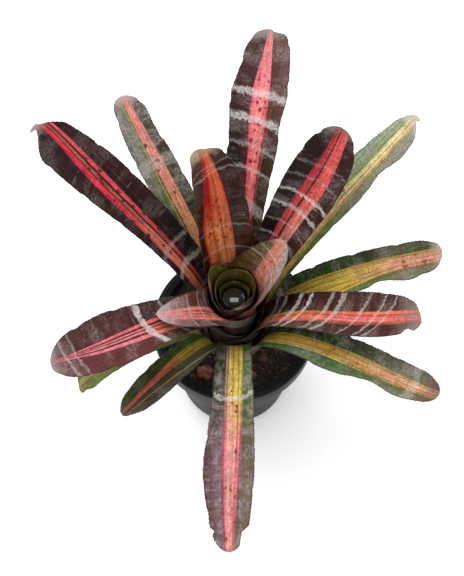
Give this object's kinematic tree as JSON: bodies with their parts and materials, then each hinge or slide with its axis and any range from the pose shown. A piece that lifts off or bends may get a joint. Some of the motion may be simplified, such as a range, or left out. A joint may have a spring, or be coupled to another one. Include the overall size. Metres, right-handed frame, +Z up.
{
  "type": "potted bromeliad",
  "caption": "Rosette of cupped strap leaves with toothed margins and a water-filled centre, growing in soil in a round black nursery pot with a turned-down rim.",
  "frame": {"origin": "centre of the pot's flat underside, on the surface it stands on", "axes": "+Z up along the pot's axis; the side that faces the viewer in the picture is -Y, and +X is to its right"},
  "size_m": [0.3499, 0.4621, 0.3448],
  "materials": {
    "pot_plastic": "satin black moulded plastic",
    "soil": "dark crumbly potting mix",
    "stem": "rough fibrous stem",
    "leaf_green": "satin green leaf with a yellow and pink centre",
    "leaf_dark": "satin maroon leaf with a red centre and pale bands",
    "leaf_centre": "satin olive and salmon leaf",
    "water": "still water",
    "stone": "rough porous red rock",
    "bark": "weathered bark"
  },
  "bodies": {
    "root": {"pot": "pot_plastic", "soil": "soil", "stem": "stem", "leaf_01": "leaf_green", "leaf_02": "leaf_green", "leaf_03": "leaf_green", "leaf_04": "leaf_green", "leaf_05": "leaf_green", "leaf_06": "leaf_dark", "leaf_07": "leaf_green", "leaf_08": "leaf_green", "leaf_09": "leaf_dark", "leaf_10": "leaf_dark", "leaf_11": "leaf_dark", "leaf_12": "leaf_dark", "leaf_13": "leaf_dark", "leaf_14": "leaf_centre", "leaf_15": "leaf_centre", "leaf_16": "leaf_centre", "leaf_17": "leaf_centre", "leaf_18": "leaf_centre", "tank_water": "water", "lava_rock": "stone", "lava_chip": "stone", "red_stone": "stone", "brown_stone": "stone", "bark_chip": "bark"}
  },
  "joints": []
}
